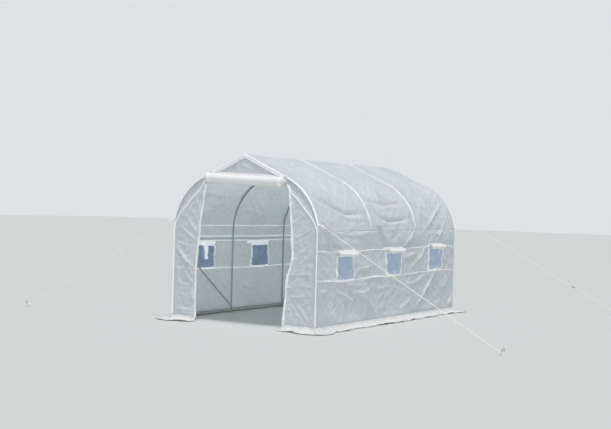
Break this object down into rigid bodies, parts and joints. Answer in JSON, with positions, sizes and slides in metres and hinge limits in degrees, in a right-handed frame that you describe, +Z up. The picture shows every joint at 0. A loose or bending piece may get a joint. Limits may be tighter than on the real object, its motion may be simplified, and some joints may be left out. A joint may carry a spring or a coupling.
{
  "type": "polytunnel greenhouse",
  "caption": "Walk-in garden polytunnel: a steel tube frame under a translucent woven cover, with a rolled-up door, screened windows, a ground skirt and guy ropes.",
  "frame": {"origin": "on the ground, at the middle of the whole outline, guy ropes and pegs included; it lies on the tunnel's centre line", "axes": "+Z up; the door is in the -Y end; +X is to the right of someone looking in through the door"},
  "size_m": [6.4586, 5.0696, 1.935],
  "materials": {
    "steel_tube": "dull galvanised",
    "cap_plastic": "moulded",
    "zinc_screw": "bright zinc",
    "cover_sheet": "translucent woven plastic",
    "rolled_sheet": "several layers of woven plastic",
    "skirt_sheet": "woven plastic with mud on it",
    "white_binding": "woven tape",
    "zip_tape": "woven tape with fine coil teeth",
    "insect_screen": "fine mesh",
    "guy_cord": "braided",
    "peg_steel": "galvanised wire"
  },
  "bodies": {
    "root": {"arch_legs_right": "steel_tube", "arch_legs_left": "steel_tube", "front_arch_bows": "steel_tube", "second_arch_bows": "steel_tube", "third_arch_bows": "steel_tube", "rear_arch_bows": "steel_tube", "ridge_elbows": "steel_tube", "ridge_rail": "steel_tube", "side_rail_right": "steel_tube", "side_rail_left": "steel_tube", "base_rails": "steel_tube", "braces_right": "steel_tube", "braces_left": "steel_tube", "foot_caps": "cap_plastic", "brace_screws": "zinc_screw", "cover_wall_right": "cover_sheet", "cover_wall_left": "cover_sheet", "cover_shoulder_right": "cover_sheet", "cover_shoulder_left": "cover_sheet", "cover_slope_right": "cover_sheet", "cover_slope_left": "cover_sheet", "front_panel_left": "cover_sheet", "front_panel_right": "cover_sheet", "front_gable": "cover_sheet", "rear_panel": "cover_sheet", "door_roll": "rolled_sheet", "window_flaps_right": "rolled_sheet", "window_flaps_left": "rolled_sheet", "skirt_right": "skirt_sheet", "skirt_left": "skirt_sheet", "skirt_rear": "skirt_sheet", "skirt_front": "skirt_sheet", "end_bindings": "white_binding", "window_frames_right": "white_binding", "window_frames_left": "white_binding", "door_ties": "white_binding", "flap_ties": "white_binding", "guy_tabs": "white_binding", "door_zips": "zip_tape", "window_screens_right": "insect_screen", "window_screens_left": "insect_screen", "guy_ropes_front": "guy_cord", "guy_ropes_rear": "guy_cord", "guy_pegs": "peg_steel"}
  },
  "joints": []
}
